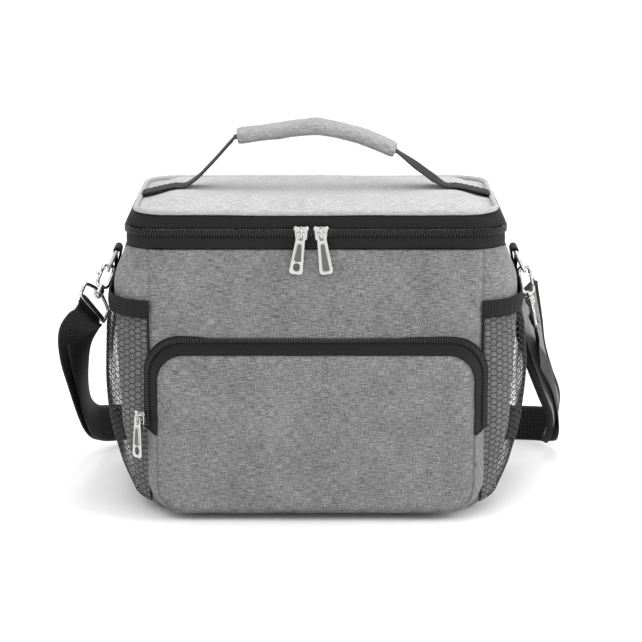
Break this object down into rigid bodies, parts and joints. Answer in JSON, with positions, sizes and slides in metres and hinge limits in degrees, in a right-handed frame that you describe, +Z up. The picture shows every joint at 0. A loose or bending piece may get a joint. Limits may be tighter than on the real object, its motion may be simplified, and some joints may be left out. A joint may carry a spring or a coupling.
{
  "type": "insulated cooler bag",
  "caption": "Soft insulated cooler bag with a zipped lid and carry handle, a zipped front pocket, mesh side pockets and a padded shoulder strap on snap hooks.",
  "frame": {"origin": "middle of the flat underside, where the bag stands", "axes": "+Z up, the front pocket faces -Y, +X to the right seen from the front"},
  "size_m": [0.4084, 0.2496, 0.2988],
  "materials": {
    "heather_cloth": "melange woven polyester",
    "foam": "closed-cell foam",
    "base_board_plastic": "matt",
    "silver_lining": "foil-faced film",
    "light_piping": "woven piping",
    "black_tape": "woven zip tape",
    "black_coil": "nylon coil",
    "black_mesh": "open net",
    "black_webbing": "flat webbing",
    "bright_metal": "nickel plate",
    "black_plastic": "moulded"
  },
  "bodies": {
    "bag": {"back_foam": "foam", "back_panel": "heather_cloth", "base_board": "base_board_plastic", "base_foam": "foam", "base_panel": "heather_cloth", "front_foam": "foam", "front_panel": "heather_cloth", "inner_lining": "silver_lining", "left_hook_eye": "bright_metal", "left_mesh_pocket": "black_mesh", "left_pocket_elastic": "black_mesh", "left_ring_tab": "black_webbing", "left_side_foam": "foam", "left_side_panel": "heather_cloth", "lid_hinge_strip": "heather_cloth", "lower_zip_coil": "black_coil", "lower_zip_tape": "black_tape", "pad_binding": "black_tape", "pocket_bag_coil": "black_coil", "pocket_pouch": "heather_cloth", "right_hook_eye": "bright_metal", "right_mesh_pocket": "black_mesh", "right_pocket_elastic": "black_mesh", "right_ring_tab": "black_webbing", "right_side_foam": "foam", "right_side_panel": "heather_cloth", "rim_binding": "black_tape", "shoulder_pad": "heather_cloth", "shoulder_strap": "black_webbing", "strap_return": "black_webbing"},
    "handle": {"handle_grip": "heather_cloth", "handle_webbing": "black_webbing"},
    "left_d_ring": {"left_d_ring": "bright_metal"},
    "lid": {"left_handle_foot": "black_webbing", "lid_back_band": "heather_cloth", "lid_foam": "foam", "lid_lining": "silver_lining", "lid_panel": "heather_cloth", "lid_piping": "light_piping", "right_handle_foot": "black_webbing", "upper_zip_coil": "black_coil", "upper_zip_tape": "black_tape"},
    "left_gate": {"left_hook_gate": "bright_metal"},
    "left_lid_pull": {"left_lid_pull": "bright_metal"},
    "left_lid_slider": {"left_lid_slider": "bright_metal"},
    "left_hook": {"left_snap_hook": "bright_metal"},
    "pocket_flap": {"pocket_flap": "heather_cloth", "pocket_flap_tape": "black_tape"},
    "pocket_pull": {"pocket_pull": "bright_metal"},
    "pocket_slider": {"pocket_slider": "bright_metal"},
    "right_d_ring": {"right_d_ring": "bright_metal"},
    "right_gate": {"right_hook_gate": "bright_metal"},
    "right_lid_pull": {"right_lid_pull": "bright_metal"},
    "right_lid_slider": {"right_lid_slider": "bright_metal"},
    "right_hook": {"right_snap_hook": "bright_metal"},
    "strap_adjuster": {"strap_adjuster": "black_plastic"}
  },
  "joints": [
    {"name": "lid_hinge", "type": "hinge", "parent": "bag", "child": "lid", "pos_m": [0, 0.085, 0.2232], "axis": [-1, 0, 0], "range_deg": [0, 110]},
    {"name": "handle_fold", "type": "hinge", "parent": "lid", "child": "handle", "pos_m": [0, 0, 0.2468], "axis": [1, 0, 0], "range_deg": [-50, 50]},
    {"name": "pocket_flap_fold", "type": "hinge", "parent": "bag", "child": "pocket_flap", "pos_m": [0, -0.103, 0.07], "axis": [1, 0, 0], "range_deg": [0, 50]},
    {"name": "left_slider_slide", "type": "slide", "parent": "bag", "child": "left_lid_slider", "axis": [-1, 0, 0], "range_m": [0, 0.1]},
    {"name": "right_slider_slide", "type": "slide", "parent": "bag", "child": "right_lid_slider", "axis": [1, 0, 0], "range_m": [0, 0.1]},
    {"name": "pocket_slider_slide", "type": "slide", "parent": "bag", "child": "pocket_slider", "axis": [0, 0, 1], "range_m": [0, 0.034]},
    {"name": "left_pull_swing", "type": "hinge", "parent": "left_lid_slider", "child": "left_lid_pull", "pos_m": [-0.011, -0.0903, 0.2232], "axis": [-1, 0, 0], "range_deg": [0, 150]},
    {"name": "right_pull_swing", "type": "hinge", "parent": "right_lid_slider", "child": "right_lid_pull", "pos_m": [0.004, -0.0903, 0.2232], "axis": [-1, 0, 0], "range_deg": [0, 150]},
    {"name": "pocket_pull_swing", "type": "hinge", "parent": "pocket_slider", "child": "pocket_pull", "pos_m": [-0.13659, -0.09359, 0.08], "axis": [-0.7071, 0.7071, 0], "range_deg": [0, 150]},
    {"name": "left_ring_swing", "type": "hinge", "parent": "bag", "child": "left_d_ring", "pos_m": [-0.1575, 0, 0.195], "axis": [0, 1, 0], "range_deg": [-1.5, 1.5]},
    {"name": "left_hook_swivel", "type": "hinge", "parent": "bag", "child": "left_hook", "pos_m": [-0.16368, -0.00955, 0.18183], "axis": [0.2763, 0.7071, 0.6509], "range_deg": [-12, 12]},
    {"name": "left_gate_hinge", "type": "hinge", "parent": "left_hook", "child": "left_gate", "pos_m": [-0.17152, -0.01959, 0.17425], "axis": [0.2763, -0.7071, 0.6509], "range_deg": [0, 22], "stiffness_Nm_per_rad": 0.002},
    {"name": "right_ring_swing", "type": "hinge", "parent": "bag", "child": "right_d_ring", "pos_m": [0.1575, 0, 0.195], "axis": [0, 1, 0], "range_deg": [-1.5, 1.5]},
    {"name": "right_hook_swivel", "type": "hinge", "parent": "bag", "child": "right_hook", "pos_m": [0.16564, 0, 0.17834], "axis": [-0.2079, 0, 0.9781], "range_deg": [-12, 12]},
    {"name": "right_gate_hinge", "type": "hinge", "parent": "right_hook", "child": "right_gate", "pos_m": [0.17275, 0, 0.16533], "axis": [0, 1, 0], "range_deg": [0, 22], "stiffness_Nm_per_rad": 0.002},
    {"name": "adjuster_slide", "type": "slide", "parent": "bag", "child": "strap_adjuster", "axis": [1, 0, 0], "range_m": [0, 0.035]}
  ]
}
